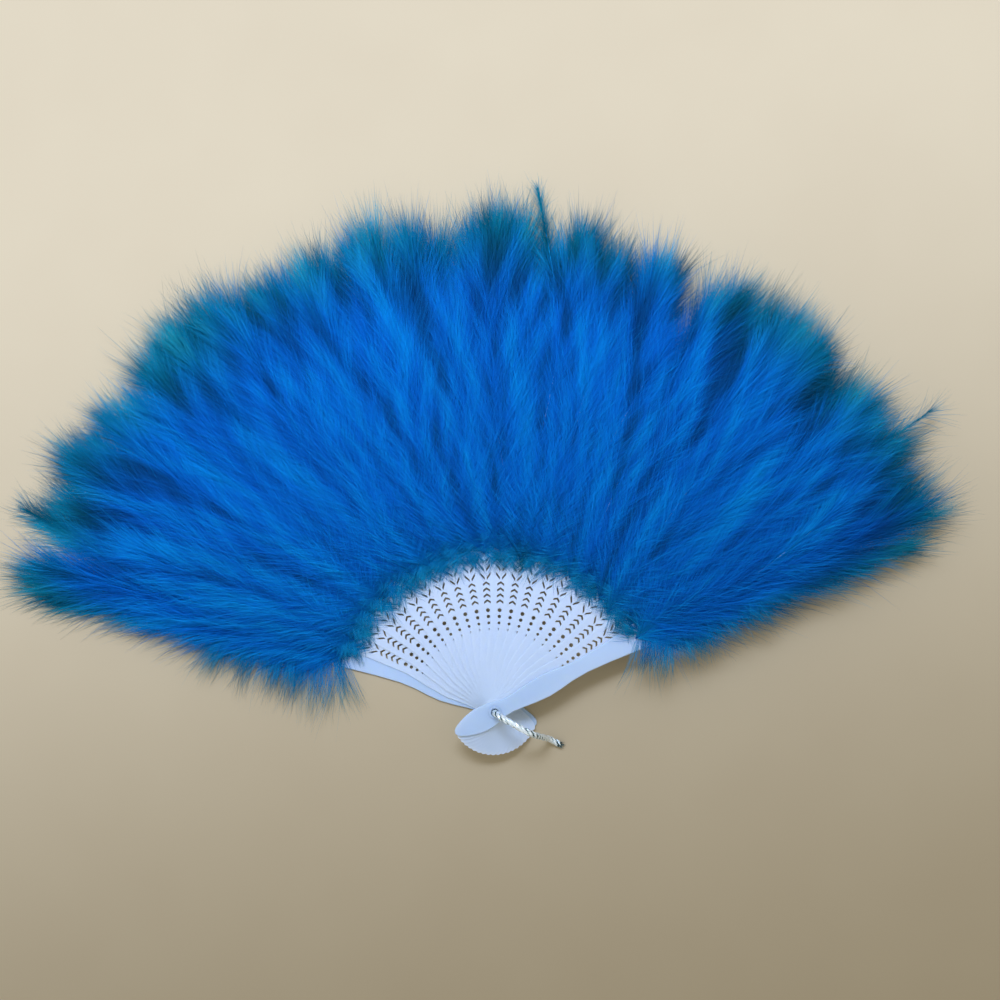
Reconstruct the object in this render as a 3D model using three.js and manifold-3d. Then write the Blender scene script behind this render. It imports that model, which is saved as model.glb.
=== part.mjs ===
// A folding hand fan: marabou plumes on pierced plastic staves that turn on one rivet.
// Millimetres. The fan lies open and flat, +Z up, with the rivet's axis on Z and its back at Z = 0.
// Each stave is drawn with its axis along +X and its eye at the origin, then turned to its place.
import * as THREE from 'three';
import { mergeVertices } from 'three/addons/utils/BufferGeometryUtils.js';
import Module from 'manifold-3d';

const wasm = await Module();
wasm.setup();

// The spread of the open fan, in degrees, counted clockwise from the rear guard
const INNER_STICKS = 19;
const REAR_GUARD_ANGLE = 160;
const STAVE_STEP = 6.6;

// Thicknesses, and the play between one stave and the next
const GUARD_THICKNESS = 1.6;
const GUARD_BEVEL = 0.3;
const STICK_THICKNESS = 0.6;
const PLUME_THICKNESS = 0.6;
const LAYER_PLAY = 0.2;

// The cord: up out of the rivet's hollow end, over the tails that pass under it as the fan closes,
// and down to the table. The crest is where it starts to fall, as a distance from the pivot.
const CORD_DIAMETER = 3.2;
const CORD_HEADING = -28.6;
const CORD_TUCK = 6;
const CORD_ARCH_RADIUS = 8;
const CORD_CREST = 15.4;
const CORD_FALL_RADIUS = 8.6;
const CORD_FALL_ANGLE = 67;
const CORD_LANDING_RADIUS = 8.6;
const CORD_LIFT = 0.1;
const CORD_SIDES = 8;
const CORD_STEPS = 24;

// The semi-tubular rivet round the cord's end
const BORE_PLAY = 0.35;
const RIVET_WALL = 0.55;
const RIVET_BORE_DEPTH = 6.4;
const RIVET_HEAD_OVERHANG = 1.8;
const RIVET_HEAD_THICKNESS = 0.6;
const RIVET_FLANGE_OVERHANG = 0.8;
const RIVET_FLANGE_THICKNESS = 0.6;
const RIVET_LIP = 0.2;
const TURNING_PLAY = 0.2;
const ROUND_SIDES = 12;

// The stave's outline: half-widths at stations along its axis
const TAIL_LENGTH = 22.4;
const TAIL_ROUNDING = 1.4;
const TAIL_TIP_HALF_WIDTH = 2.3;
const TAIL_TAPER_STATION = 15.5;
const TAIL_TAPER_HALF_WIDTH = 4.7;
const TAIL_WIDEST_STATION = 8;
const TAIL_HALF_WIDTH = 6.2;
const EYE_RIM = 0.9;
const NECK_STATION = 8;
const NECK_HALF_WIDTH = 3.9;
const SHOULDER_STATION = 28;
const SHOULDER_HALF_WIDTH = 5.7;
const WAIST_STATION = 50;
const WAIST_HALF_WIDTH = 3.9;
const BLADE_END = 88;
const BLADE_HALF_WIDTH = 7.4;
const BLADE_SHOULDER = 5;
const TONGUE_LENGTH = 72;
const TONGUE_HALF_WIDTH = 2.2;
const STICK_SIDE_STEPS = 15;
const GUARD_SIDE_STEPS = 24;

// The piercing of an inner stick: dots, then chevrons, then pairs of slits spread like leaf veins.
// The pattern is set out from the blade's end towards the eye.
const SLIT_PAIRS = 3;
const SLIT_MARGIN = 9.5;
const SLIT_PITCH = 4.2;
const SLIT_RISE = 3.2;
const SLIT_SPREAD = 3.1;
const SLIT_WIDTH = 1.3;
const SLIT_RIB = 0.5;
const CHEVRONS = 4;
const CHEVRON_PITCH = 3;
const CHEVRON_HALF_WIDTH = 1.7;
const CHEVRON_RISE = 1.2;
const CHEVRON_SLOT = 1.1;
const DOTS = 4;
const DOT_PITCH = 3.2;
const FIRST_DOT_DIAMETER = 1.3;
const LAST_DOT_DIAMETER = 2.2;
const DOT_SIDES = 6;

// The plume on each stave: half-widths at stations beyond the plume's base
const PLUME_LAP = 11;
const PLUME_BASE_HALF_WIDTH = 13;
const PLUME_MIDDLE_STATION = 48;
const PLUME_MIDDLE_HALF_WIDTH = 19;
const PLUME_WIDEST_STATION = 118;
const PLUME_HALF_WIDTH = 25;
const PLUME_CROWN_STATION = 159;
const PLUME_CROWN_HALF_WIDTH = 17;
const PLUME_LENGTH = 179;
const PLUME_TIP_HALF_WIDTH = 4;
const PLUME_LENGTH_VARIATION = 4;
const PLUME_LOBES = 7;
const LOBE_CUT = 0.25;
const LOBE_LEAN = 7;
const GUARD_FRINGE = 14;
const SEAT_PLAY = 0.3;

// Sizes that follow from these
const BORE_RADIUS = CORD_DIAMETER / 2 + BORE_PLAY;
const SHANK_RADIUS = BORE_RADIUS + RIVET_WALL;
const HEAD_RADIUS = SHANK_RADIUS + RIVET_HEAD_OVERHANG;
const FLANGE_RADIUS = SHANK_RADIUS + RIVET_FLANGE_OVERHANG;
const HEAD_RECESS_RADIUS = HEAD_RADIUS + TURNING_PLAY;
const HEAD_RECESS_DEPTH = RIVET_HEAD_THICKNESS + LAYER_PLAY;
const EYE_RADIUS = SHANK_RADIUS + TURNING_PLAY;
const EYE_HALF_WIDTH = HEAD_RECESS_RADIUS + EYE_RIM;
const TONGUE_STATION = BLADE_END + BLADE_SHOULDER;
const TONGUE_END = TONGUE_STATION + TONGUE_LENGTH;
const PLUME_BASE = BLADE_END - PLUME_LAP;
const LAST_STAVE = Math.round(INNER_STICKS) + 1;
const LAYER_RISE = Math.max(STICK_THICKNESS, PLUME_THICKNESS) + LAYER_PLAY;
const FIRST_STICK_Z = GUARD_THICKNESS + LAYER_PLAY;
const FRONT_GUARD_Z = FIRST_STICK_Z + (LAST_STAVE - 1) * LAYER_RISE;
const FLANGE_Z = FRONT_GUARD_Z + GUARD_THICKNESS + LAYER_PLAY;
const RIVET_TOP = FLANGE_Z + RIVET_FLANGE_THICKNESS;

const whitePlastic = { color: '#dfe6f5', roughness: 0.35, metalness: 0 };
const blueDown = { color: '#0068c8', roughness: 0.9, metalness: 0 };
const silverFoil = { color: '#c9d2cf', roughness: 0.3, metalness: 1 };

function namedMesh(name, geometry, look) {
  const mesh = new THREE.Mesh(geometry, new THREE.MeshStandardMaterial(look));
  mesh.name = name;
  return mesh;
}

// A closed geometry as a solid that can be cut
function toSolid(geometry) {
  const bare = geometry.clone();
  bare.deleteAttribute('normal');
  bare.deleteAttribute('uv');
  const merged = mergeVertices(bare);
  return new wasm.Manifold(new wasm.Mesh({
    numProp: 3,
    vertProperties: new Float32Array(merged.attributes.position.array),
    triVerts: new Uint32Array(merged.index.array),
  }));
}

function fromSolid(solid) {
  const mesh = solid.getMesh();
  const geometry = new THREE.BufferGeometry();
  geometry.setAttribute('position', new THREE.BufferAttribute(mesh.vertProperties, 3));
  geometry.setIndex(new THREE.BufferAttribute(mesh.triVerts, 1));
  geometry.computeVertexNormals();
  return geometry;
}

function points(pairs) {
  return pairs.map(([x, y]) => new THREE.Vector2(x, y));
}

function polygon(pairs) {
  return new THREE.Path(points(pairs));
}

function roundHole(x, radius, sides) {
  const corners = [];
  for (let i = 0; i < sides; i += 1) {
    const turn = (2 * Math.PI * i) / sides;
    corners.push([x + radius * Math.cos(turn), radius * Math.sin(turn)]);
  }
  return polygon(corners);
}

function otherSide(side) {
  return side.map((p) => new THREE.Vector2(p.x, -p.y));
}

// Rounded tail, eye, neck, shoulder, waist and flared blade in one smooth line, then the plain tongue
function staveShape(steps) {
  const smooth = new THREE.SplineCurve(points([
    [-TAIL_LENGTH, 0],
    [TAIL_ROUNDING - TAIL_LENGTH, TAIL_TIP_HALF_WIDTH],
    [-TAIL_TAPER_STATION, TAIL_TAPER_HALF_WIDTH],
    [-TAIL_WIDEST_STATION, TAIL_HALF_WIDTH],
    [0, EYE_HALF_WIDTH],
    [NECK_STATION, NECK_HALF_WIDTH],
    [SHOULDER_STATION, SHOULDER_HALF_WIDTH],
    [WAIST_STATION, WAIST_HALF_WIDTH],
    [BLADE_END, BLADE_HALF_WIDTH],
  ]));
  const side = [
    ...smooth.getPoints(steps),
    ...points([[TONGUE_STATION, TONGUE_HALF_WIDTH], [TONGUE_END, TONGUE_HALF_WIDTH]]),
  ];
  const shape = new THREE.Shape([...otherSide(side), ...side.slice(1).reverse()]);
  shape.holes.push(roundHole(0, EYE_RADIUS, ROUND_SIDES));
  return shape;
}

function slitPair(x) {
  return [-1, 1].map((side) => polygon([
    [x, side * SLIT_RIB],
    [x + SLIT_WIDTH, side * SLIT_RIB],
    [x + SLIT_RISE + SLIT_WIDTH, side * SLIT_SPREAD],
    [x + SLIT_RISE, side * SLIT_SPREAD],
  ]));
}

function chevron(x) {
  return polygon([
    [x, -CHEVRON_HALF_WIDTH],
    [x + CHEVRON_SLOT, -CHEVRON_HALF_WIDTH],
    [x + CHEVRON_RISE + CHEVRON_SLOT, 0],
    [x + CHEVRON_SLOT, CHEVRON_HALF_WIDTH],
    [x, CHEVRON_HALF_WIDTH],
    [x + CHEVRON_RISE, 0],
  ]);
}

function piercing() {
  const holes = [];
  let x = BLADE_END - SLIT_MARGIN - SLIT_RISE - SLIT_WIDTH;
  for (let i = 0; i < SLIT_PAIRS; i += 1) {
    holes.push(...slitPair(x));
    x -= SLIT_PITCH;
  }
  x += SLIT_PITCH - CHEVRON_PITCH;
  for (let i = 0; i < CHEVRONS; i += 1) {
    holes.push(chevron(x));
    x -= CHEVRON_PITCH;
  }
  x += CHEVRON_PITCH - DOT_PITCH;
  for (let i = DOTS - 1; i >= 0; i -= 1) {
    const diameter = THREE.MathUtils.mapLinear(i, 0, DOTS - 1, FIRST_DOT_DIAMETER, LAST_DOT_DIAMETER);
    holes.push(roundHole(x, diameter / 2, DOT_SIDES));
    x -= DOT_PITCH;
  }
  return holes;
}

// A tool that cuts a hole right through a stick, and reaches as far again beyond either face
function punch(hole) {
  const shape = new THREE.Shape(hole.getPoints());
  const geometry = new THREE.ExtrudeGeometry(shape, { depth: 3 * STICK_THICKNESS, bevelEnabled: false });
  return toSolid(geometry.translate(0, 0, -STICK_THICKNESS));
}

function stickGeometry() {
  const blank = new THREE.ExtrudeGeometry(staveShape(STICK_SIDE_STEPS), {
    depth: STICK_THICKNESS,
    bevelEnabled: false,
  });
  const punches = piercing().map(punch);
  return fromSolid(punches.reduce((stick, tool) => stick.subtract(tool), toSolid(blank)));
}

// A guard is thicker than a stick and unpierced, with its edges eased
function guardGeometry() {
  const geometry = new THREE.ExtrudeGeometry(staveShape(GUARD_SIDE_STEPS), {
    depth: GUARD_THICKNESS - 2 * GUARD_BEVEL,
    bevelThickness: GUARD_BEVEL,
    bevelSize: GUARD_BEVEL,
    bevelOffset: -GUARD_BEVEL,
    bevelSegments: 1,
  });
  return geometry.translate(0, 0, GUARD_BEVEL);
}

// The rear guard's back is counterbored, so that the rivet's head lies flush in it
function rearGuardGeometry() {
  const drill = new THREE.CylinderGeometry(
    HEAD_RECESS_RADIUS, HEAD_RECESS_RADIUS, 2 * HEAD_RECESS_DEPTH, 2 * ROUND_SIDES,
  );
  drill.rotateX(Math.PI / 2);
  return fromSolid(toSolid(guardGeometry()).subtract(toSolid(drill)));
}

// One edge of a plume, broken into lobes that lean towards the tip
function plumeEdge(tip, fringe) {
  const smooth = new THREE.SplineCurve(points([
    [PLUME_BASE, PLUME_BASE_HALF_WIDTH + fringe],
    [PLUME_BASE + PLUME_MIDDLE_STATION, PLUME_MIDDLE_HALF_WIDTH + fringe],
    [PLUME_BASE + PLUME_WIDEST_STATION, PLUME_HALF_WIDTH],
    [PLUME_BASE + PLUME_CROWN_STATION, PLUME_CROWN_HALF_WIDTH],
    [tip, PLUME_TIP_HALF_WIDTH],
  ]));
  const edge = smooth.getSpacedPoints(2 * PLUME_LOBES);
  edge.slice(1, -1).forEach((p, i) => {
    if (i % 2 === 0) p.y *= 1 - LOBE_CUT;
    else p.x += LOBE_LEAN;
  });
  return edge;
}

// The plume lies in its stave's layer, round the end of the blade and along the tongue
function plumeGeometry(stave) {
  const tip = PLUME_BASE + PLUME_LENGTH + PLUME_LENGTH_VARIATION * Math.sin(stave * stave);
  const left = plumeEdge(tip, stave === 0 ? GUARD_FRINGE : 0);
  const right = plumeEdge(tip, stave === LAST_STAVE ? GUARD_FRINGE : 0);
  const seat = points([
    [PLUME_BASE, BLADE_HALF_WIDTH + SEAT_PLAY],
    [BLADE_END + SEAT_PLAY, BLADE_HALF_WIDTH + SEAT_PLAY],
    [TONGUE_STATION + SEAT_PLAY, TONGUE_HALF_WIDTH + SEAT_PLAY],
    [TONGUE_END + SEAT_PLAY, TONGUE_HALF_WIDTH + SEAT_PLAY],
  ]);
  const outline = [...left, ...otherSide(right).reverse(), ...otherSide(seat), ...seat.slice().reverse()];
  return new THREE.ExtrudeGeometry(new THREE.Shape(outline), {
    depth: PLUME_THICKNESS,
    bevelEnabled: false,
  });
}

// Flat head at the back, shank through every eye, and a rolled flange round the hollow front end
function rivetGeometry() {
  const profile = points([
    [0, 0],
    [HEAD_RADIUS, 0],
    [HEAD_RADIUS, RIVET_HEAD_THICKNESS],
    [SHANK_RADIUS, RIVET_HEAD_THICKNESS],
    [SHANK_RADIUS, FLANGE_Z],
    [FLANGE_RADIUS, FLANGE_Z],
    [FLANGE_RADIUS, RIVET_TOP - RIVET_LIP],
    [FLANGE_RADIUS - RIVET_LIP, RIVET_TOP],
    [BORE_RADIUS + RIVET_LIP, RIVET_TOP],
    [BORE_RADIUS, RIVET_TOP - RIVET_LIP],
    [BORE_RADIUS, RIVET_TOP - RIVET_BORE_DEPTH],
    [0, RIVET_TOP - RIVET_BORE_DEPTH],
  ]);
  return new THREE.LatheGeometry(profile, ROUND_SIDES).rotateX(Math.PI / 2);
}

// The cord's centre line in the upright plane that holds it
function cordRoute() {
  const fall = THREE.MathUtils.degToRad(CORD_FALL_ANGLE);
  const fallZ = RIVET_TOP + CORD_ARCH_RADIUS - CORD_FALL_RADIUS;
  const landingZ = CORD_LIFT + CORD_DIAMETER / 2 + CORD_LANDING_RADIUS;
  const bends = CORD_FALL_RADIUS + CORD_LANDING_RADIUS;
  const drop = fallZ - landingZ + bends * Math.cos(fall);
  const landing = CORD_CREST + bends * Math.sin(fall) + drop / Math.tan(fall);
  return new THREE.Path()
    .moveTo(0, RIVET_TOP - CORD_TUCK)
    .lineTo(0, RIVET_TOP)
    .absarc(CORD_ARCH_RADIUS, RIVET_TOP, CORD_ARCH_RADIUS, Math.PI, Math.PI / 2, true)
    .absarc(CORD_CREST, fallZ, CORD_FALL_RADIUS, Math.PI / 2, Math.PI / 2 - fall, true)
    .absarc(landing, landingZ, CORD_LANDING_RADIUS, -Math.PI / 2 - fall, -Math.PI / 2);
}

function cordGeometry() {
  const stations = cordRoute().getSpacedPoints(CORD_STEPS);
  const line = new THREE.CatmullRomCurve3(stations.map((p) => new THREE.Vector3(p.x, 0, p.y)));
  const section = new THREE.Shape(roundHole(0, CORD_DIAMETER / 2, CORD_SIDES).getPoints());
  return new THREE.ExtrudeGeometry(section, { extrudePath: line, steps: CORD_STEPS });
}

function staveName(stave) {
  if (stave === 0) return 'rear';
  if (stave === LAST_STAVE) return 'front';
  return String(stave).padStart(2, '0');
}

const pierced = stickGeometry();

function staveMesh(stave) {
  if (stave === 0) return namedMesh('guard_rear', rearGuardGeometry(), whitePlastic);
  if (stave === LAST_STAVE) return namedMesh('guard_front', guardGeometry(), whitePlastic);
  return namedMesh(`stick_${staveName(stave)}`, pierced, whitePlastic);
}

function staveZ(stave) {
  if (stave === 0) return 0;
  return FIRST_STICK_Z + (stave - 1) * LAYER_RISE;
}

// A stave with its plume, which is centred in the stave's thickness
function staveGroup(stave) {
  const guard = stave === 0 || stave === LAST_STAVE;
  const plume = namedMesh(`plume_${staveName(stave)}`, plumeGeometry(stave), blueDown);
  plume.position.z = ((guard ? GUARD_THICKNESS : STICK_THICKNESS) - PLUME_THICKNESS) / 2;
  const group = new THREE.Group();
  group.add(staveMesh(stave), plume);
  group.position.z = staveZ(stave);
  group.rotation.z = THREE.MathUtils.degToRad(REAR_GUARD_ANGLE - stave * STAVE_STEP);
  return group;
}

const fan = new THREE.Group();
for (let stave = 0; stave <= LAST_STAVE; stave += 1) {
  fan.add(staveGroup(stave));
}
fan.add(namedMesh('pivot_rivet', rivetGeometry(), whitePlastic));
const cord = namedMesh('cord', cordGeometry(), silverFoil);
cord.rotation.z = THREE.MathUtils.degToRad(CORD_HEADING);
fan.add(cord);

export default fan;
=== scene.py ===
"""Looks of the folding feather fan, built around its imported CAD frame.

Sizes below are in millimetres, as in the CAD, and become metres where a mesh is made.
"""

import math
from collections import namedtuple

import bpy
import numpy as np
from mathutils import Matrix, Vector


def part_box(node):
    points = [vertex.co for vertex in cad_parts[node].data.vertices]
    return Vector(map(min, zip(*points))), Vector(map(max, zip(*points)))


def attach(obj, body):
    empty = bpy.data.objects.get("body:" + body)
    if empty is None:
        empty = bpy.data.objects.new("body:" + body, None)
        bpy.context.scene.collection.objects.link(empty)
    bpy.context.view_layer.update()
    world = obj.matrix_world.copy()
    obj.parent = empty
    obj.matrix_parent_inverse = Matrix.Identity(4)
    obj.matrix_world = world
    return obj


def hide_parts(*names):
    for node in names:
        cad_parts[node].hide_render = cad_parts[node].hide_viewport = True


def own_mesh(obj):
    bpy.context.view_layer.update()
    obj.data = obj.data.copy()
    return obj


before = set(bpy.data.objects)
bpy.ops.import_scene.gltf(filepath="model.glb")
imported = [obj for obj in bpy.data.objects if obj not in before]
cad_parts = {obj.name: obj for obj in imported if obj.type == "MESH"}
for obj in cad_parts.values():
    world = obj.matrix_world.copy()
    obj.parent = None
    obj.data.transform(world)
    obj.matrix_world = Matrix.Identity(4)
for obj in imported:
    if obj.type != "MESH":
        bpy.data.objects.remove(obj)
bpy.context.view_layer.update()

MM = 0.001
SEED = 2107

# The open fan as the CAD sets it out: staves counted clockwise from the rear guard, in degrees
STAVES = ["rear", *(f"{n:02d}" for n in range(1, 20)), "front"]
LAST_STAVE = len(STAVES) - 1
REAR_GUARD_ANGLE = 160.0
STAVE_STEP = 6.6

# Camera straight above, as in the photograph
PHOTO_CENTRE = (2.5, 105.5)
PHOTO_WIDTH = 500.0
SUBJECT_HEIGHT = 12.0
CAMERA_DISTANCE = 1000.0
SENSOR_WIDTH = 36.0

# The cord's route, repeated from the CAD: out of the rivet, over the tails and down to the table
CORD_HEADING = -28.6
CORD_DIAMETER = 3.2
RIVET_MOUTH = 19.4
CORD_TUCK = 6.0
CORD_ARCH_RADIUS = 8.0
CORD_CREST = 15.4
CORD_FALL_RADIUS = 8.6
CORD_FALL_ANGLE = 67.0
CORD_LANDING_RADIUS = 8.6
CORD_LIFT = 0.1
CORD_STEPS = 280
STRANDS = 3
STRAND_RADIUS = 1.0
STRAND_OFFSET = 0.6
STRAND_PITCH = 9.5
STRAND_SIDES = 30
STRAND_THREADS = 5
THREAD_RIDGE = 0.1
THREAD_PITCH = 9.0
# Painted shade: the cord's colour darkens into the creases between strands over this depth
CREASE_DEPTH = 0.47
TWIST_WANDER = 0.5
# The cord's colour is darker over this length at its cut end
CUT_END_DARK_LENGTH = 3.0
FRAY_FIBRES = 40
FRAY_LENGTH = 2.4
FRAY_SPREAD = 26.0
FRAY_RADIUS = 0.12

# Down: barbs grow in clusters along a quill, and each barb is a slim closed spike
CLUSTERS_PER_PLUME = 1330
BARBS_PER_CLUSTER = 14
TIP_CLUSTERS = 24
HAIR_SHARE = 0.3
HAIR_STRETCH = 0.5
HAIR_THICKNESS = 1.4
BARB_STATIONS = np.array([0.0, 0.55, 1.0])
BARB_SIDES = 3
GROWTH_STEPS = 50
BARB_ROOT_RADIUS = 0.09
BARB_TIP_RADIUS = 0.05
FLOOR_CLEARANCE = 0.25
QUILL_STATIONS = 15
QUILL_SIDES = 5
QUILL_ROOT_RADIUS = 0.24
QUILL_TIP_RADIUS = 0.08

# Plumes that reach further than the rest, or less far
EXTRA_REACH = {
    0: 5, 1: 7, 4: 8, 5: 10, 7: -4, 8: -4, 9: 5, 10: -6, 11: 5,
    13: -8, 14: -6, 15: -3, 17: 3, 18: 5, 19: 3, 20: -3,
}

# Feathers that stand out of the edge or hang off a guard, and how pointed they are:
# stave, foot, lean in degrees, length, barb, point
STRAYS = [
    (0, 84, 5.5, 150, 32, 0), (0, 84, 9, 140, 28, 0), (0, 184, -12, 72, 26, 0.7),
    (2, 200, -6, 40, 22, 0.5), (4, 200, 0, 50, 18, 0.6), (8, 205, 6, 26, 22, 0.3),
    (12, 200, 21, 65, 22, 0.7), (17, 200, -3, 44, 24, 0.7), (19, 200, -2, 62, 26, 0.9),
    (20, 84, -5, 134, 30, 0), (20, 86, -8, 106, 28, 0),
]

# Dye: the feathers' tips and the ones behind turn teal, and a darker band runs inside the leaf's edge
EDGE_TEAL = 0.25
UNDER_TEAL = 0.15
MOST_TEAL = 0.78
DARK_BAND = (190, 215, 226, 246)
# Waves of painted highlight and painted shade that run outwards across the leaf
PATCH_WAVES = range(24, 120, 8)
PATCH_RUN = 28.0

# Table and light, in metres: a wide soft window beyond the leaf, and an even room
FLOOR_SIZE = 40
FLOOR_DROP = 0.0001
WINDOW_SIZE = (1.4, 0.7)
WINDOW_SPREAD = 40.0
WINDOW_POWER = 5.2
WINDOW_COLOUR = (0.55, 0.67, 1.0)
WINDOW_PLACE = (-0.08, 0.72, 0.72)
WINDOW_AIM = (-0.02, 0.42, 0)
ROOM_COLOUR = (0.89, 0.93, 1, 1)
ROOM_LEVEL = 0.53
WALL_COLOUR = (0.86, 0.86, 0.84, 1)

Feather = namedtuple("Feather", "x y lean bend length barb z lift sag rise droop teal edge shade pale point")
Tufts = namedtuple("Tufts", "lines teal bright fine")


def smooth_step(low, high, value):
    t = np.clip((value - low) / (high - low), 0, 1)
    return t * t * (3 - 2 * t)


def scatter(rng, spread, shape):
    """Random spread about zero, without far outliers."""
    return spread * np.clip(rng.normal(0, 1, shape), -2, 2)


def make_object(name, vertices, triangles, material, uv):
    """A smooth-shaded mesh object from arrays of millimetre points and triangles."""
    mesh = bpy.data.meshes.new(name)
    mesh.vertices.add(len(vertices))
    mesh.vertices.foreach_set("co", (np.asarray(vertices) * MM).astype(np.float32).ravel())
    mesh.loops.add(3 * len(triangles))
    mesh.loops.foreach_set("vertex_index", np.asarray(triangles, np.int32).ravel())
    mesh.polygons.add(len(triangles))
    mesh.polygons.foreach_set("loop_start", np.arange(0, 3 * len(triangles), 3, dtype=np.int32))
    mesh.update(calc_edges=True)
    layer = mesh.uv_layers.new(name="OFBake")
    layer.data.foreach_set("uv", uv[np.asarray(triangles).ravel()].astype(np.float32).ravel())
    mesh.shade_smooth()
    mesh.materials.append(material)
    made = bpy.data.objects.new(name, mesh)
    bpy.context.scene.collection.objects.link(made)
    return made


def spikes(lines, radii, sides=BARB_SIDES):
    """Closed tapering spikes along lines of shape (count, stations, 3): their points and triangles."""
    count, stations, _ = lines.shape
    along = np.gradient(lines, axis=1)
    along /= np.linalg.norm(along, axis=2, keepdims=True)
    across = np.cross(along, [0.0, 0.0, 1.0])
    across /= np.maximum(np.linalg.norm(across, axis=2, keepdims=True), 1e-9)
    over = np.cross(across, along)
    turn = 2 * np.pi * (np.arange(sides) + 0.25) / sides
    rings = lines[:, :-1, None, :] + radii[:, :-1, None, None] * (
        np.cos(turn)[:, None] * across[:, :-1, None, :] + np.sin(turn)[:, None] * over[:, :-1, None, :]
    )
    points = np.concatenate([rings.reshape(count, -1, 3), lines[:, -1:, :]], axis=1)
    tip = sides * (stations - 1)
    one = []
    for j in range(sides):
        k = (j + 1) % sides
        for ring in range(stations - 2):
            a, b = ring * sides + j, ring * sides + k
            one += [(a, b, b + sides), (a, b + sides, a + sides)]
        one.append((tip - sides + j, tip - sides + k, tip))
    one += [(0, j + 1, j) for j in range(1, sides - 1)]
    triangles = np.array(one)[None] + (tip + 1) * np.arange(count)[:, None, None]
    return points.reshape(-1, 3), triangles.reshape(-1, 3)


def new_material(name):
    material = bpy.data.materials.new(name)
    material.use_nodes = True
    tree = material.node_tree
    return material, tree.nodes, tree.links, tree.nodes["Principled BSDF"]


def ramp(nodes, stops):
    """A colour ramp through (place, colour) stops."""
    node = nodes.new("ShaderNodeValToRGB")
    elements = node.color_ramp.elements
    while len(elements) < len(stops):
        elements.new(0.5)
    for element, (place, colour) in zip(elements, stops):
        element.position = place
        element.color = (*colour, 1)
    return node


def noise(nodes, links, coordinates, scale, detail=3.0, roughness=0.5):
    node = nodes.new("ShaderNodeTexNoise")
    node.inputs["Scale"].default_value = scale
    node.inputs["Detail"].default_value = detail
    node.inputs["Roughness"].default_value = roughness
    links.new(coordinates, node.inputs["Vector"])
    return node.outputs["Fac"]


def map_range(nodes, links, value, low, high, from_low=0.0, from_high=1.0):
    node = nodes.new("ShaderNodeMapRange")
    node.inputs["From Min"].default_value = from_low
    node.inputs["From Max"].default_value = from_high
    node.inputs["To Min"].default_value = low
    node.inputs["To Max"].default_value = high
    links.new(value, node.inputs["Value"])
    return node.outputs["Result"]


def bump(nodes, links, height, shader, strength, distance):
    node = nodes.new("ShaderNodeBump")
    node.inputs["Strength"].default_value = strength
    node.inputs["Distance"].default_value = distance
    links.new(height, node.inputs["Height"])
    links.new(node.outputs["Normal"], shader.inputs["Normal"])


def plastic_material(name, low, high):
    """White moulded plastic with a cool cast, faint flow marks and a soft gloss."""
    material, nodes, links, shader = new_material(name)
    place = nodes.new("ShaderNodeTexCoord").outputs["Object"]
    tint = ramp(nodes, [(0.3, low), (0.7, high)])
    links.new(noise(nodes, links, place, 70, 4), tint.inputs["Fac"])
    links.new(tint.outputs["Color"], shader.inputs["Base Color"])
    gloss = map_range(nodes, links, noise(nodes, links, place, 350), 0.28, 0.44)
    links.new(gloss, shader.inputs["Roughness"])
    bump(nodes, links, noise(nodes, links, place, 1400, 2), shader, 0.12, 0.0001)
    shader.inputs["Subsurface Weight"].default_value = 0.45
    shader.inputs["Subsurface Radius"].default_value = (1.3, 0.9, 0.5)
    shader.inputs["Subsurface Scale"].default_value = 0.008
    return material


def mapped(nodes, links):
    """The two coordinates of a mesh's own map."""
    where = nodes.new("ShaderNodeUVMap")
    where.uv_map = "OFBake"
    parts = nodes.new("ShaderNodeSeparateXYZ")
    links.new(where.outputs["UV"], parts.inputs["Vector"])
    return parts.outputs["X"], parts.outputs["Y"]


def foil_material():
    """Silver foil thread with a faint green cast. The map's U runs from painted shade deep in the creases
    between strands up to the foil's own bright colour on the strands' outer tops.
    """
    material, nodes, links, shader = new_material("silver_foil")
    painted_crease_shade_and_marks, _ = mapped(nodes, links)
    tint = ramp(nodes, [
        (0.0, (0.005, 0.018, 0.018)), (0.1, (0.08, 0.16, 0.16)),
        (0.2, (0.62, 0.74, 0.73)), (1.0, (0.94, 1.0, 0.99)),
    ])
    links.new(painted_crease_shade_and_marks, tint.inputs["Fac"])
    links.new(tint.outputs["Color"], shader.inputs["Base Color"])
    shader.inputs["Roughness"].default_value = 0.25
    shader.inputs["Metallic"].default_value = 0.5
    return material


def down_material():
    """Dyed down. The map's U runs from blue to teal, then to pale quill, and V from shaded to bright."""
    material, nodes, links, shader = new_material("dyed_down")
    hue, shade = mapped(nodes, links)
    blue = ramp(nodes, [(0.0, (0.0, 0.052, 0.29)), (0.5, (0.0, 0.19, 0.7)), (1.0, (0.0, 0.4, 0.86))])
    teal = ramp(nodes, [(0.0, (0.0, 0.086, 0.127)), (0.5, (0.0, 0.22, 0.29)), (1.0, (0.02, 0.39, 0.45))])
    pale = ramp(nodes, [(0.0, (0.02, 0.2, 0.46)), (1.0, (0.45, 0.65, 0.72))])
    for tints in (blue, teal, pale):
        links.new(shade, tints.inputs["Fac"])
    mixed = blue.outputs["Color"]
    for low, high, tints in ((0.0, 0.8, teal), (0.86, 0.9, pale)):
        share = map_range(nodes, links, hue, 0, 1, low, high)
        mix = nodes.new("ShaderNodeMix")
        mix.data_type = "RGBA"
        links.new(share, mix.inputs["Factor"])
        links.new(mixed, mix.inputs["A"])
        links.new(tints.outputs["Color"], mix.inputs["B"])
        mixed = mix.outputs["Result"]
    links.new(mixed, shader.inputs["Base Color"])
    shader.inputs["Roughness"].default_value = 0.6
    shader.inputs["Specular IOR Level"].default_value = 0.1
    return material


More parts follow.
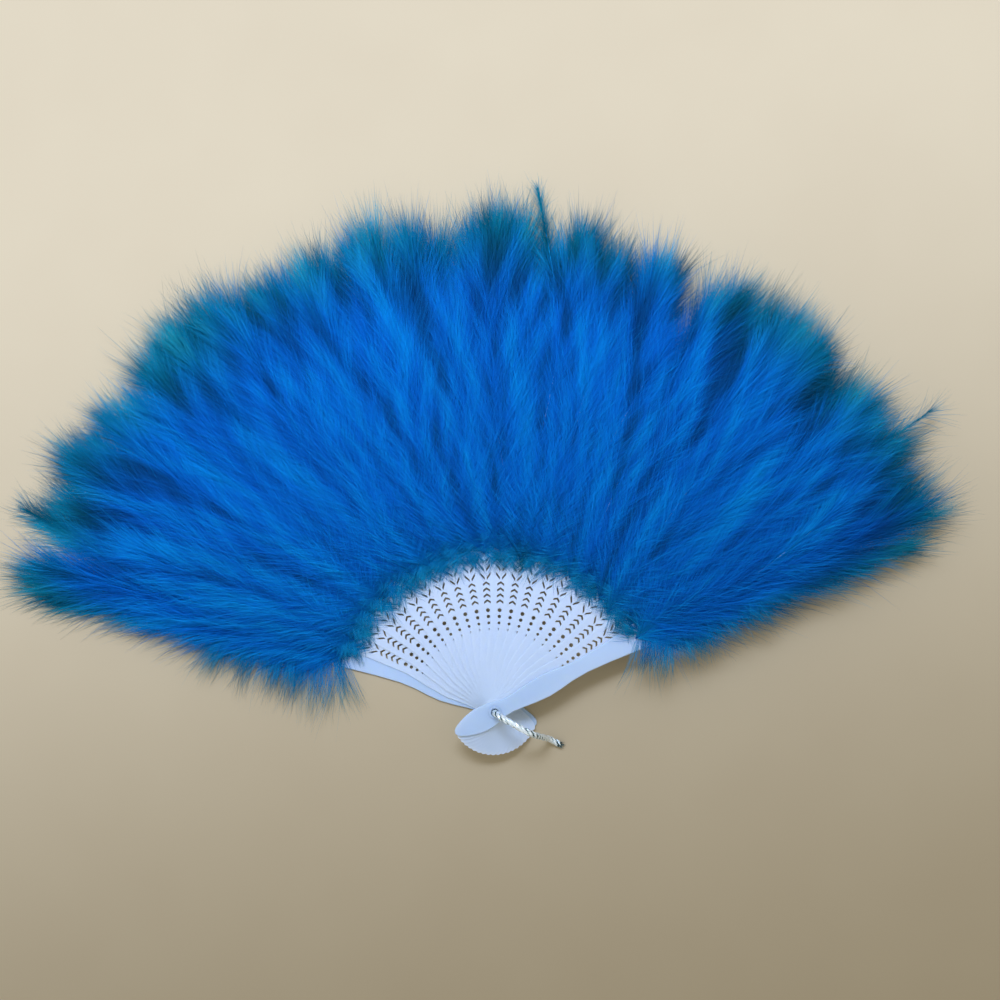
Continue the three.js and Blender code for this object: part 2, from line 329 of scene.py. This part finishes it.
def cord_line():
    """The cord's centre line: straight up, over in an arch, down at a slope and level at its end."""
    fall = math.radians(CORD_FALL_ANGLE)
    fall_z = RIVET_MOUTH + CORD_ARCH_RADIUS - CORD_FALL_RADIUS
    landing_z = CORD_LIFT + CORD_DIAMETER / 2 + CORD_LANDING_RADIUS
    bends = CORD_FALL_RADIUS + CORD_LANDING_RADIUS
    drop = fall_z - landing_z + bends * math.cos(fall)
    landing = CORD_CREST + bends * math.sin(fall) + drop / math.tan(fall)
    up = np.radians(np.linspace(0, 90, 60))
    over = np.linspace(0, fall, 60)
    corners = np.vstack([
        [0, RIVET_MOUTH - CORD_TUCK],
        CORD_ARCH_RADIUS * np.column_stack([1 - np.cos(up), np.sin(up)]) + [0, RIVET_MOUTH],
        CORD_FALL_RADIUS * np.column_stack([np.sin(over), np.cos(over)]) + [CORD_CREST, fall_z],
        CORD_LANDING_RADIUS * np.column_stack([-np.sin(over), -np.cos(over)])[::-1] + [landing, landing_z],
    ])
    run = np.concatenate([[0], np.cumsum(np.linalg.norm(np.diff(corners, axis=0), axis=1))])
    even = np.linspace(0, run[-1], CORD_STEPS + 1)
    out, height = (np.interp(even, run, corners[:, n]) for n in (0, 1))
    heading = math.radians(CORD_HEADING)
    return np.column_stack([out * math.cos(heading), out * math.sin(heading), height])


def strand(line, phase):
    """One of the cord's strands: a ridged bundle of threads that winds round the centre line."""
    heading = math.radians(CORD_HEADING)
    side = np.array([-math.sin(heading), math.cos(heading), 0])
    along = np.gradient(line, axis=0)
    along /= np.linalg.norm(along, axis=1, keepdims=True)
    up = np.cross(along, side)
    run = np.concatenate([[0], np.cumsum(np.linalg.norm(np.diff(line, axis=0), axis=1))])
    wind = 2 * np.pi * run / STRAND_PITCH + phase + TWIST_WANDER * np.sin(0.45 * run + phase)
    centre = line + STRAND_OFFSET * (np.cos(wind)[:, None] * side + np.sin(wind)[:, None] * up)
    turn = 2 * np.pi * np.arange(STRAND_SIDES) / STRAND_SIDES
    ridge = np.cos(STRAND_THREADS * turn + 2 * np.pi * run[:, None] / THREAD_PITCH)
    radius = STRAND_RADIUS * (1 + THREAD_RIDGE * ridge)
    rings = centre[:, None] + radius[:, :, None] * (
        np.cos(turn)[:, None] * side + np.sin(turn)[:, None] * up[:, None]
    )
    points = np.vstack([rings.reshape(-1, 3), centre[:1], centre[-1:]])
    # Painted shade: the colour darkens with depth into the creases between strands; dark flecks and a darker
    # cut end are taken off the same value
    depth = STRAND_OFFSET + STRAND_RADIUS - np.linalg.norm(rings - line[:, None], axis=2)
    painted_crease_shade_and_marks = 1 - depth / CREASE_DEPTH
    flecks = np.sin(3.1 * run[:, None] + 2 * turn + 5 * phase)
    flecks = flecks * np.sin(1.37 * run[:, None] - 3 * turn + 2 * phase)
    painted_crease_shade_and_marks -= 0.9 * smooth_step(0.6, 0.85, flecks)
    painted_crease_shade_and_marks -= 0.8 * smooth_step(CUT_END_DARK_LENGTH, 0, run[-1] - run)[:, None]
    u = np.clip(painted_crease_shade_and_marks, 0.02, 0.97) + 0.01 * np.cos(turn)
    v = (run / run[-1])[:, None] + 0 * turn
    uv = np.vstack([np.stack([u, v], -1).reshape(-1, 2), [[0.01, 0.01], [0.01, 0.99]]])
    j = np.arange(STRAND_SIDES)
    k = (j + 1) % STRAND_SIDES
    first = STRAND_SIDES * np.arange(len(line) - 1)[:, None]
    walls = np.stack([
        np.stack([first + j, first + k, first + STRAND_SIDES + k], -1),
        np.stack([first + j, first + STRAND_SIDES + k, first + STRAND_SIDES + j], -1),
    ]).reshape(-1, 3)
    last = STRAND_SIDES * (len(line) - 1)
    caps = np.vstack([
        np.column_stack([k, j, np.full(STRAND_SIDES, len(points) - 2)]),
        np.column_stack([last + j, last + k, np.full(STRAND_SIDES, len(points) - 1)]),
    ])
    return points, np.vstack([walls, caps]), uv


def fray(line, rng):
    """Loose foil fibres that splay out of the cord's cut end."""
    forward = line[-1] - line[-4]
    forward /= np.linalg.norm(forward)
    spread = rng.normal(0, math.tan(math.radians(FRAY_SPREAD)) / 2, (FRAY_FIBRES, 3))
    heading = forward + spread
    heading /= np.linalg.norm(heading, axis=1, keepdims=True)
    reach = FRAY_LENGTH * rng.uniform(0.5, 1, FRAY_FIBRES)
    root = line[-1] - forward + rng.normal(0, CORD_DIAMETER / 6, (FRAY_FIBRES, 3))
    s = BARB_STATIONS[None, :, None]
    lines = root[:, None] + heading[:, None] * (reach[:, None, None] + 1) * s
    lines[:, :, 2] = np.maximum(lines[:, :, 2] - 0.6 * BARB_STATIONS**2, FLOOR_CLEARANCE)
    radii = FRAY_RADIUS * (1 - 0.5 * BARB_STATIONS)[None].repeat(FRAY_FIBRES, 0)
    dark = np.full(radii.shape, 0.1)
    return *spikes(lines, radii), colour_map(dark, dark, BARB_SIDES)


def join(parts):
    """Several sets of points, triangles and map places as one."""
    points, triangles, uv = zip(*parts)
    start = np.cumsum([0] + [len(p) for p in points])
    return np.vstack(points), np.vstack([t + first for first, t in zip(start, triangles)]), np.vstack(uv)


def build_cord(material):
    line = cord_line()
    rng = np.random.default_rng(SEED)
    strands = [strand(line, 2 * np.pi * n / STRANDS) for n in range(STRANDS)]
    points, triangles, uv = join([*strands, fray(line, rng)])
    cord = make_object("twisted_cord", points, triangles, material, uv)
    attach(cord, "rear_stave")
    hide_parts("cord")


def quill_line(feather, t):
    """Points and headings along a feather's quill, in the stave's own frame."""
    fine = np.linspace(0, 1, 61)
    heading = feather.lean + feather.bend * fine
    step = feather.length / 60
    x = feather.x + np.concatenate([[0], np.cumsum(np.cos(heading[:-1]) * step)])
    y = feather.y + np.concatenate([[0], np.cumsum(np.sin(heading[:-1]) * step)])
    z = feather.z + feather.lift * np.sin(np.pi * 0.85 * fine) - feather.sag * fine**2
    points = np.stack([np.interp(t, fine, v) for v in (x, y, z)], -1)
    return points, np.interp(t, fine, heading)


def feathers_on(stave, rng):
    """The feathers tied to one stave: long ones to the edge, short ones over them, and some behind."""
    height = stave / LAST_STAVE
    low = 1 - 0.4 * height
    reach = EXTRA_REACH.get(stave, 0)
    made = []

    def add(
        x, lean, length, barb, z, lift, rise, droop=14, sag=2.0, teal=0.0, edge=0.0, pale=False, point=0.0,
    ):
        made.append(Feather(
            x + rng.normal(0, 1.5), rng.normal(0, 0.6), math.radians(lean + rng.normal(0, 1.2)),
            math.radians(rng.normal(0, 4)), length + rng.normal(0, 3.0), barb * rng.uniform(0.92, 1.08),
            z, lift, sag, math.radians(rise), math.radians(droop), teal + rng.normal(0, 0.06), edge,
            rng.normal(0, 0.1), pale, point,
        ))

    tilt = rng.choice([-1, 1])
    sag = 2 + 4 * height
    add(82, 0.8 * tilt, 147 + reach, 38, 1.0, 1.0, 6 * low, sag=sag, edge=EDGE_TEAL)
    add(86, 2.7 * tilt, 141 + reach, 36, 1.4, 2.2, 8 * low, sag=sag, edge=EDGE_TEAL)
    add(80, -4 * tilt, 114, 34, 1.6, 3.0 * low, 11 * low)
    add(80, 5 * tilt, 90, 33, 1.8, 3.2 * low, 11 * low)
    add(78, -2 * tilt, 60, 28, 2.0, 3.0 * low, 11 * low, droop=18)
    for lean, length, depth in ((-0.9, 144, 1.0), (-2.6, 138, 1.4)):
        add(
            84, lean * tilt, length + reach, 37, -depth, -1.8 * depth * height, -4 * depth - 8 * height,
            droop=4, sag=1 + 6 * height, teal=UNDER_TEAL, edge=EDGE_TEAL,
        )
    if rng.random() < 0.8 * smooth_step(0.4, 0.75, height):
        foot, lean, length = rng.uniform(96, 150), rng.uniform(-9, 9), rng.uniform(38, 66)
        add(foot, lean, length, 25, 3.8, 3.0, 1, droop=8, pale=True)
    for where, x, lean, length, barb, point in STRAYS:
        if where == stave:
            add(
                x, lean, length, barb, 0.4, 0.5, 4 - 8 * height,
                sag=2 + 3 * height, teal=UNDER_TEAL, edge=EDGE_TEAL, point=point,
            )
    return made


def grow(root, heading, elevation, curl, droop, length):
    """Centre lines of barbs that leave their roots at a heading, curl along their length and droop."""
    s = (np.arange(GROWTH_STEPS) + 0.5) / GROWTH_STEPS
    turn = heading[..., None] + curl[..., None] * s
    slope = elevation[..., None] - droop[..., None] * s
    move = np.stack([np.cos(turn) * np.cos(slope), np.sin(turn) * np.cos(slope), np.sin(slope)], -1)
    move *= (length / GROWTH_STEPS)[..., None, None]
    line = np.concatenate([root[..., None, :], root[..., None, :] + np.cumsum(move, -2)], -2)
    picks = np.rint(BARB_STATIONS * GROWTH_STEPS).astype(int)
    return line[..., picks, :]


def tuft_lines(root, heading, rise, curl, droop, length, close, uneven, rng):
    """Clusters of barbs that share a heading and close up towards their tips, as tufts of down do."""
    shape = heading.shape
    lines = grow(
        root, heading + np.radians(scatter(rng, 7, shape)),
        rise[:, None] + np.radians(scatter(rng, 5, shape)),
        curl[:, None] + np.radians(scatter(rng, 9, shape)),
        droop * (1 + scatter(rng, 0.4, shape)), length[:, None] * (1 + scatter(rng, uneven, shape)),
    )
    middle = lines.mean(axis=1, keepdims=True)
    pull = (close[:, None] * rng.uniform(0.2, 1, shape))[..., None, None] * (BARB_STATIONS**1.4)[:, None]
    return lines + pull * (middle - lines)


def side_tufts(feather, count, rng):
    """The barbs down both sides of a feather's quill."""
    shape = (count, BARBS_PER_CLUSTER)
    side = np.where(np.arange(count) % 2, 1.0, -1.0)
    t = (np.arange(count) + rng.uniform(0, 1, count)) / count
    angle = np.interp(t, [0, 0.25, 0.85, 1], [46, 27, 16, 12]) + scatter(rng, 7 + 8 * feather.point, count)
    length = feather.barb * np.interp(t, [0, 0.2, 0.75, 1], [0.7, 1, 1, 0.8])
    length = length * (1 + scatter(rng, 0.12, count))
    length *= np.interp(t, [0.1, 1], [1, 1 - 0.85 * feather.point])
    places = t[:, None] + scatter(rng, 10 / count, shape)
    root, heading = quill_line(feather, 1 - np.abs(1 - np.abs(places)))
    lines = tuft_lines(
        root + rng.normal(0, 0.15, root.shape), heading + (side * np.radians(angle))[:, None],
        feather.rise + np.radians(scatter(rng, 6, count)), -side * np.radians(5 + scatter(rng, 10, count)),
        feather.droop, length, rng.uniform(0, 0.15, count), 0.12, rng,
    )
    teal = feather.teal + feather.edge * smooth_step(0.85, 1, t)
    return Tufts(lines, teal, 0.5 + feather.shade + scatter(rng, 0.04, count), 1 - 0.25 * feather.point)


def tip_tufts(feather, rng):
    """The end of a feather: fine barbs that spread from the last of the quill, and a few longer hairs."""
    count = int(TIP_CLUSTERS * (1 - 0.8 * feather.point))
    shape = (count, BARBS_PER_CLUSTER)
    root, heading = quill_line(feather, 1 - (0.2 + 0.3 * feather.point) * rng.uniform(0, 1, shape) ** 1.5)
    fan = np.radians(rng.uniform(-28, 28, count)) * (1 - 0.8 * feather.point)
    length = feather.barb * rng.uniform(0.4, 0.75, count) * (1 - 0.5 * feather.point)
    length *= 1 - 0.4 * np.abs(fan) / np.radians(28)
    lines = tuft_lines(
        root + rng.normal(0, 0.15, root.shape), heading + fan[:, None],
        feather.rise * 0.6 + np.radians(scatter(rng, 6, count)), np.radians(scatter(rng, 7, count)),
        feather.droop, length, rng.uniform(0, 0.3, count), 0.26, rng,
    )
    fine = np.full(shape, 0.8 - 0.2 * feather.point)
    if feather.edge:
        hairs = rng.random(count) < HAIR_SHARE * (1 - feather.point)
        lines[hairs, 0] += HAIR_STRETCH * (lines[hairs, 0] - lines[hairs, 0, :1])
        fine[hairs, 0] = HAIR_THICKNESS
    bright = 0.5 + feather.shade + rng.normal(0, 0.1, count)
    return Tufts(lines, np.full(count, feather.teal + feather.edge), bright, fine)


def base_down(stave, rng):
    """Soft wisps round the foot of a stave's feathers, longer on the outer side of a guard."""
    groups = []
    for side in (-1, 1):
        outer = (stave == 0 and side == 1) or (stave == LAST_STAVE and side == -1)
        reach = (35 if stave == 0 else 27) if outer else 13
        count = 84 if outer else 34
        x = rng.uniform(80, 150, count) if outer else rng.uniform(77, 97, count)
        angle = np.interp(x, [77, 84, 100, 150], [145, 112, 98, 72]) + rng.normal(0, 11, count)
        groups.append((x, np.full(count, float(side)), angle, reach * rng.uniform(0.65, 1.1, count)))
    x, side, angle, length = (np.concatenate(v) for v in zip(*groups))
    shape = (len(x), BARBS_PER_CLUSTER)
    top = 0.9 if stave in (0, LAST_STAVE) else 0.4
    root = np.stack([
        x[:, None] + rng.normal(0, 1.2, shape),
        side[:, None] * rng.uniform(-0.5, 5.0, shape),
        top + rng.uniform(0, 1.4, shape),
    ], -1)
    heading = (side * np.radians(angle))[:, None].repeat(BARBS_PER_CLUSTER, 1)
    lines = tuft_lines(
        root, heading, np.radians(rng.normal(8, 6, len(x))), np.radians(rng.normal(0, 14, len(x))),
        math.radians(14), length, rng.uniform(0.1, 0.6, len(x)), 0.12, rng,
    )
    return Tufts(lines, np.full(len(x), UNDER_TEAL), 0.65 + rng.normal(0, 0.1, len(x)), 0.85)


def tealness(lines, base, stave):
    """How teal the dye looks at each station: towards the leaf's edges, and at the foot of the down."""
    radius = np.hypot(lines[..., 0], lines[..., 1])
    teal = base[:, None] + 0.5 * smooth_step(208, 248, radius) + 0.35 * smooth_step(92, 72, radius)
    if stave == 0:
        teal = teal + 0.5 * smooth_step(10, 32, lines[..., 1])
    if stave == LAST_STAVE:
        teal = teal + 0.5 * smooth_step(-8, -26, lines[..., 1])
    return np.clip(teal, 0.02, MOST_TEAL)


def colour_map(teal, bright, sides):
    """Map places for spikes: one per ring point and one for the tip, each face with some area."""
    turn = 2 * np.pi * np.arange(sides) / sides
    step = 0.004 * np.arange(teal.shape[1])
    u = (teal + step)[..., None] + 0.006 * np.cos(turn)
    v = np.clip(bright, 0.03, 0.96)[..., None] + 0.012 * np.sin(turn)
    rings = np.stack([u[:, :-1], v[:, :-1]], -1).reshape(len(teal), -1, 2)
    tips = np.stack([u[:, -1:, 0], v[:, -1:, 0]], -1)
    return np.concatenate([rings, tips], axis=1).reshape(-1, 2)


def quills_of(feathers):
    """The feathers' quills, as slim tapering shafts, with their map places."""
    t = np.linspace(0, 1, QUILL_STATIONS)
    lines = np.stack([quill_line(f, t)[0] for f in feathers])
    radii = np.interp(t, [0, 1], [QUILL_ROOT_RADIUS, QUILL_TIP_RADIUS])[None].repeat(len(feathers), 0)
    teal = np.array([0.93 if f.pale else 0.1 for f in feathers])[:, None].repeat(QUILL_STATIONS, 1)
    bright = np.sin(np.pi * t)[None].repeat(len(feathers), 0) ** 2
    return lines, radii, teal, bright


def patches(lines, angle):
    """Painted light and shade across the leaf: lighter towards its sides, most on the left, and soft painted
    highlights and shade in waves that run outwards; with the darker dye band inside the edge, and the teal
    cast painted into the deepest darks.
    """
    rng = np.random.default_rng(SEED)
    radius = np.hypot(lines[..., 0], lines[..., 1])
    turn = angle + np.arctan2(lines[..., 1], lines[..., 0])
    # Painted light: lighter towards the sides of the leaf, most on the left
    total = 1.5 * smooth_step(1.2, 2.5, turn) + smooth_step(1.3, 0.5, turn)
    inner, deepest, rising, outer = DARK_BAND
    total -= 2.2 * smooth_step(inner, deepest, radius) * smooth_step(outer, rising, radius)
    # Painted highlights and painted shade in soft waves that run outwards
    for waves in PATCH_WAVES:
        along = rng.uniform(-1, 1) / PATCH_RUN
        total += np.sin(waves * turn + 2 * np.pi * (along * radius + rng.uniform(0, 1)))
    # The deepest darks get a painted teal cast
    deep = np.clip(-total - 1.5, 0, 3)
    return 0.06 * total - 0.07 * deep, 0.1 * deep


def build_plume(stave, material):
    name = STAVES[stave]
    rng = np.random.default_rng((SEED, stave))
    angle = math.radians(REAR_GUARD_ANGLE - stave * STAVE_STEP)
    feathers = feathers_on(stave, rng)
    base = base_down(stave, rng)
    tips = [tip_tufts(f, rng) for f in feathers]
    spare = CLUSTERS_PER_PLUME - len(base.teal) - sum(len(tip.teal) for tip in tips)
    per_length = spare / sum(f.length for f in feathers)
    counts = [int(per_length * f.length * (1 - 0.85 * f.point)) for f in feathers]
    tufts = [base, *tips, *(side_tufts(f, count, rng) for f, count in zip(feathers, counts))]
    lines = np.concatenate([t.lines.reshape(-1, len(BARB_STATIONS), 3) for t in tufts])
    teal = np.concatenate([t.teal.repeat(BARBS_PER_CLUSTER) for t in tufts])
    bright = np.concatenate([t.bright.repeat(BARBS_PER_CLUSTER) for t in tufts])
    fine = np.concatenate([np.broadcast_to(t.fine, t.lines.shape[:2]).ravel() for t in tufts])
    # Painted light and shade on the down, with the dye band, and the teal cast painted into its deepest
    # darks
    lights, painted_shade_and_band_teal = patches(lines, angle)
    bright = bright[:, None] + rng.normal(0, 0.07, (len(lines), 1)) + 0.12 * (BARB_STATIONS - 0.4) + lights
    radii = np.interp(BARB_STATIONS, [0, 1], [BARB_ROOT_RADIUS, BARB_TIP_RADIUS])
    radii = radii * (fine * rng.uniform(0.75, 1.2, len(lines)))[:, None]
    teal = np.clip(tealness(lines, teal, stave) + painted_shade_and_band_teal, 0.02, MOST_TEAL)
    quill_lines, quill_radii, quill_teal, quill_bright = quills_of(feathers)
    low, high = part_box(f"plume_{name}")
    layer = (low.z + high.z) / 2 / MM
    for shafts, thick in ((lines, radii), (quill_lines, quill_radii)):
        shafts[..., 2] = np.maximum(shafts[..., 2], FLOOR_CLEARANCE + thick - layer)
    points, triangles, uv = join([
        (*spikes(lines, radii), colour_map(teal, bright, BARB_SIDES)),
        (*spikes(quill_lines, quill_radii, QUILL_SIDES), colour_map(quill_teal, quill_bright, QUILL_SIDES)),
    ])
    spun = np.column_stack([
        points[:, 0] * math.cos(angle) - points[:, 1] * math.sin(angle),
        points[:, 0] * math.sin(angle) + points[:, 1] * math.cos(angle),
        points[:, 2] + layer,
    ])
    plume = make_object(f"marabou_{name}", spun, triangles, material, uv)
    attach(plume, f"{name}_stave" if name in ("rear", "front") else f"stave_{name}")
    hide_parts(f"plume_{name}")
    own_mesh(plume)


def dress_staves():
    """The thin sticks take the white plastic; the thick guards and the rivet take a darker copy of the same
    plastic, which is painted shade.
    """
    thin = plastic_material("stick_plastic", (0.78, 0.88, 0.93), (0.82, 0.91, 0.95))
    # Painted shade: the guards and the rivet get a darker copy of the sticks' plastic
    thick = plastic_material("guard_plastic_painted_shade", (0.52, 0.66, 0.79), (0.55, 0.69, 0.82))
    for name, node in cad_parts.items():
        if name.startswith(("guard_", "stick_")) or name == "pivot_rivet":
            node.data.materials.clear()
            node.data.materials.append(thin if name.startswith("stick_") else thick)


def build_floor():
    bpy.ops.mesh.primitive_plane_add(size=FLOOR_SIZE, location=(0, 0, -FLOOR_DROP))
    floor = bpy.context.object
    floor.name = "table_top"
    material, nodes, links, shader = new_material("cream_table")
    place = nodes.new("ShaderNodeTexCoord").outputs["Object"]
    tint = ramp(nodes, [(0.3, (0.54, 0.42, 0.24)), (0.7, (0.555, 0.435, 0.25))])
    links.new(noise(nodes, links, place, 14, 2), tint.inputs["Fac"])
    links.new(tint.outputs["Color"], shader.inputs["Base Color"])
    shader.inputs["Roughness"].default_value = 0.75
    floor.data.materials.append(material)


def build_light():
    """A wide soft window above the far side of the table, and an even room."""
    light = bpy.data.lights.new("window", "AREA")
    light.shape = "RECTANGLE"
    light.size, light.size_y = WINDOW_SIZE
    light.spread = math.radians(WINDOW_SPREAD)
    light.energy = WINDOW_POWER
    light.color = WINDOW_COLOUR
    window = bpy.data.objects.new("window", light)
    bpy.context.scene.collection.objects.link(window)
    window.location = WINDOW_PLACE
    aim = Vector(WINDOW_AIM) - window.location
    window.rotation_mode = "QUATERNION"
    window.rotation_quaternion = aim.to_track_quat("-Z", "Y")
    world = bpy.data.worlds.new("room")
    bpy.context.scene.world = world
    world.use_nodes = True
    nodes, links = world.node_tree.nodes, world.node_tree.links
    room = nodes["Background"]
    room.inputs["Color"].default_value = ROOM_COLOUR
    room.inputs["Strength"].default_value = ROOM_LEVEL
    wall = nodes.new("ShaderNodeBackground")
    wall.inputs["Color"].default_value = WALL_COLOUR
    paths = nodes.new("ShaderNodeLightPath")
    seen = paths.outputs["Is Camera Ray"]
    for ray in ("Is Glossy Ray", "Is Transmission Ray"):
        either = nodes.new("ShaderNodeMath")
        either.operation = "MAXIMUM"
        links.new(seen, either.inputs[0])
        links.new(paths.outputs[ray], either.inputs[1])
        seen = either.outputs["Value"]
    mix = nodes.new("ShaderNodeMixShader")
    links.new(seen, mix.inputs["Fac"])
    links.new(room.outputs["Background"], mix.inputs[1])
    links.new(wall.outputs["Background"], mix.inputs[2])
    links.new(mix.outputs["Shader"], nodes["World Output"].inputs["Surface"])


def build_camera():
    lens = bpy.data.cameras.new("camera")
    lens.sensor_width = SENSOR_WIDTH
    lens.lens = SENSOR_WIDTH * CAMERA_DISTANCE / PHOTO_WIDTH
    camera = bpy.data.objects.new("camera", lens)
    bpy.context.scene.collection.objects.link(camera)
    camera.location = [v * MM for v in (*PHOTO_CENTRE, SUBJECT_HEIGHT + CAMERA_DISTANCE)]
    bpy.context.scene.camera = camera


build_camera()
build_light()
build_floor()
build_cord(foil_material())
dress_staves()
down = down_material()
for number in range(len(STAVES)):
    build_plume(number, down)
bpy.context.scene.view_settings.view_transform = "Standard"
bpy.context.view_layer.update()
